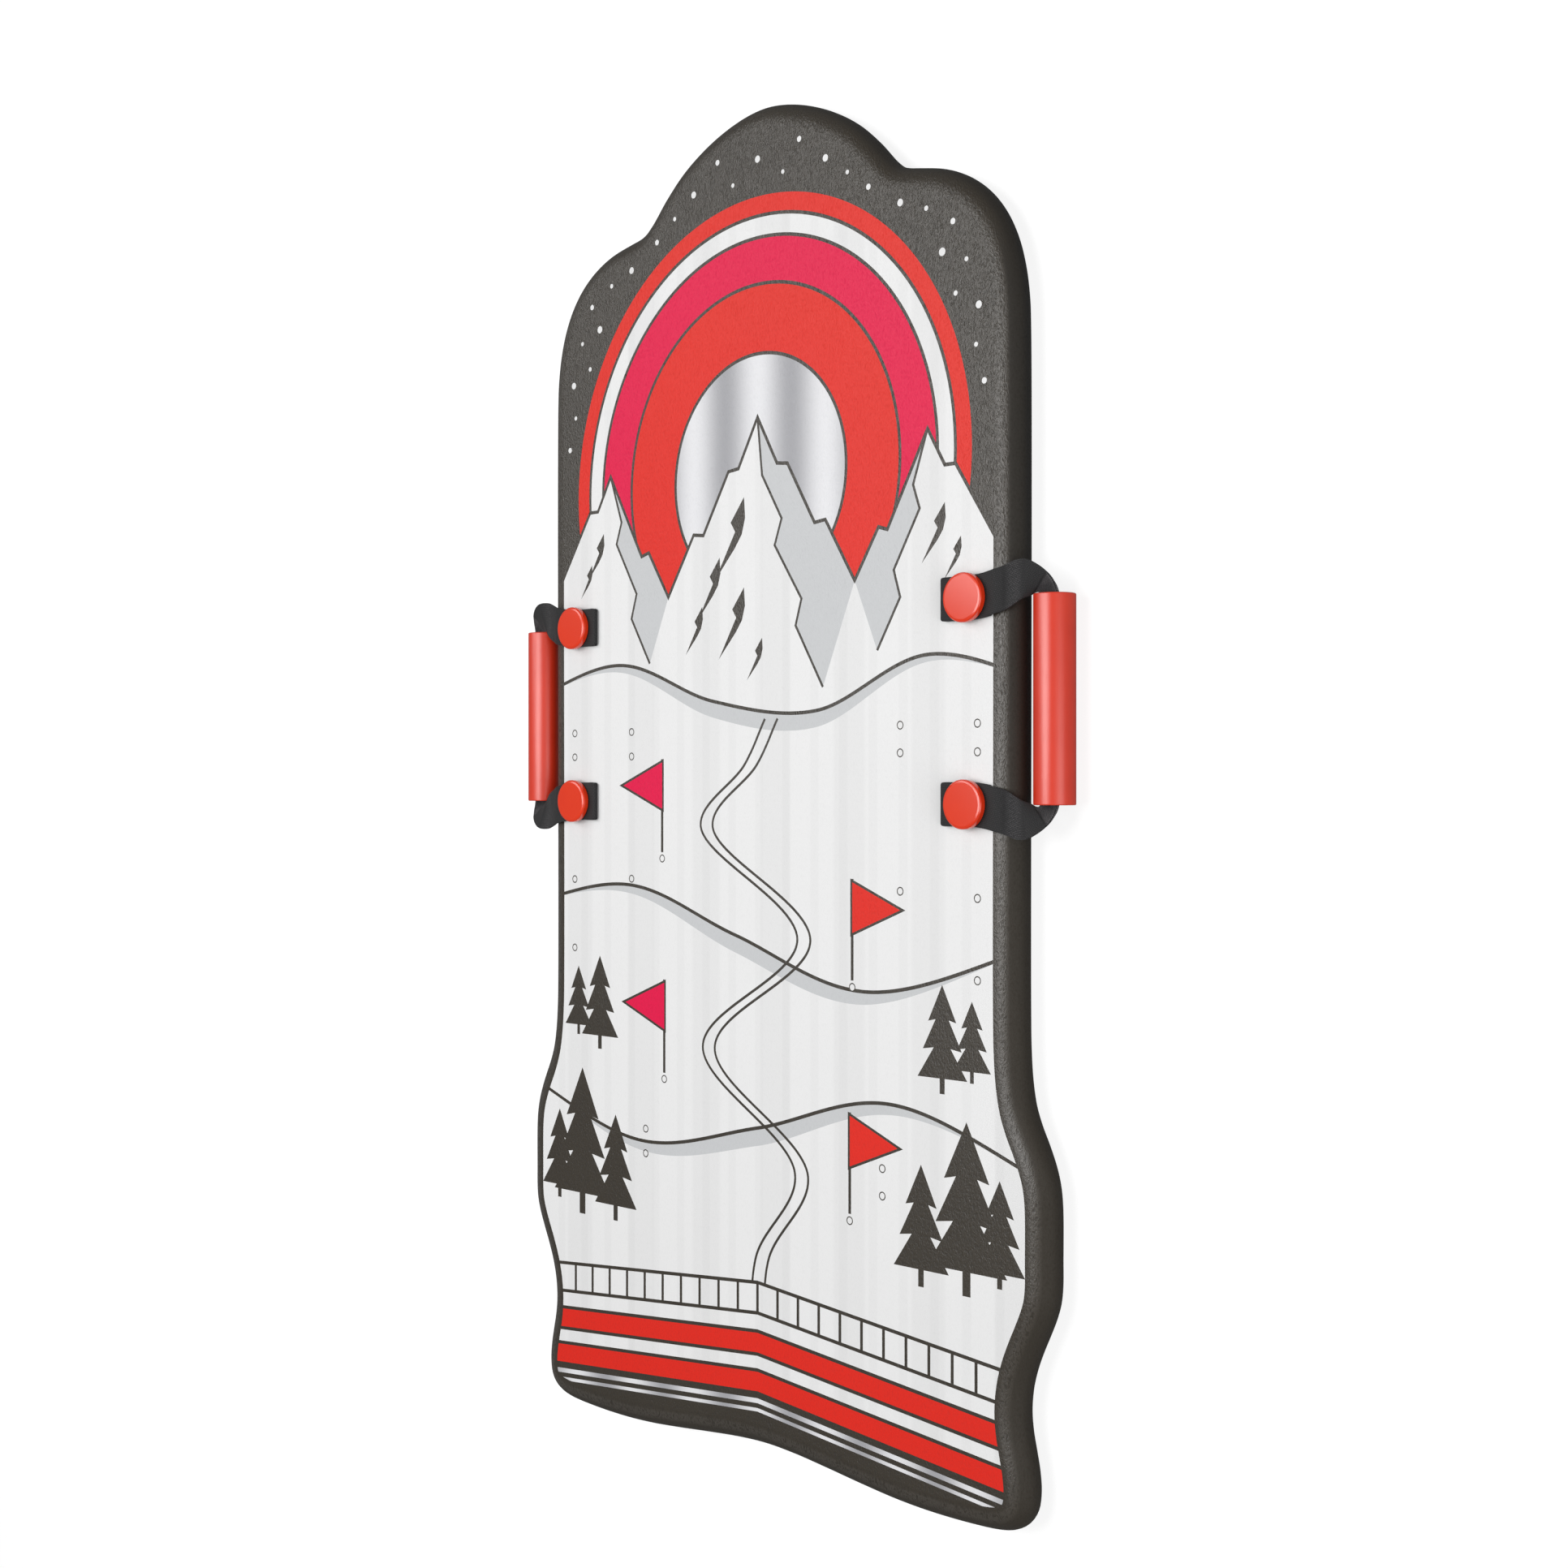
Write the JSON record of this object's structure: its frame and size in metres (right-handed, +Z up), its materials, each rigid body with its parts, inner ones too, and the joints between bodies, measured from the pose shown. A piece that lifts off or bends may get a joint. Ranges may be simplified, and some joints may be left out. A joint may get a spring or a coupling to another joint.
{
  "type": "foam sled",
  "caption": "Flat foam sled with a printed film deck, a hard running sheet and two webbing handles with loose grip tubes, each held by two through buttons.",
  "frame": {"origin": "centre of the board's outline on the running face, the plane that the sled lies on", "axes": "+X across the board to the rider's right, +Y towards the nose, +Z up through the deck"},
  "size_m": [0.4666, 0.838, 0.033],
  "materials": {
    "printed_film": "embossed charcoal foam film, printed on the deck",
    "foam": "closed-cell foam",
    "slick_plastic": "smooth hard sheet",
    "red_plastic": "satin moulded red plastic",
    "webbing": "black woven strap"
  },
  "bodies": {
    "board": {"deck_skin": "printed_film", "foam_core": "foam", "slick_bottom": "slick_plastic", "button_front_left": "red_plastic", "button_rear_left": "red_plastic", "button_front_right": "red_plastic", "button_rear_right": "red_plastic", "plug_front_left": "red_plastic", "plug_rear_left": "red_plastic", "plug_front_right": "red_plastic", "plug_rear_right": "red_plastic", "strap_tab_front_left": "webbing", "strap_tab_rear_left": "webbing", "strap_tab_front_right": "webbing", "strap_tab_rear_right": "webbing"},
    "left_handle": {"strap_loop_left": "webbing"},
    "left_sleeve": {"grip_left": "red_plastic"},
    "right_handle": {"strap_loop_right": "webbing"},
    "right_sleeve": {"grip_right": "red_plastic"}
  },
  "joints": [
    {"name": "right_handle_swing", "type": "hinge", "parent": "board", "child": "right_handle", "pos_m": [0.1906, 0.0464, 0.02745], "axis": [0, -1, 0], "range_deg": [-15, 120]},
    {"name": "right_grip_turn", "type": "hinge", "parent": "right_handle", "child": "right_sleeve", "pos_m": [0.22155, 0.0464, 0.0133], "axis": [0, 1, 0], "continuous": true},
    {"name": "left_handle_swing", "type": "hinge", "parent": "board", "child": "left_handle", "pos_m": [-0.1906, 0.0464, 0.02745], "axis": [0, 1, 0], "range_deg": [-15, 120]},
    {"name": "left_grip_turn", "type": "hinge", "parent": "left_handle", "child": "left_sleeve", "pos_m": [-0.22155, 0.0464, 0.0133], "axis": [0, 1, 0], "continuous": true}
  ]
}
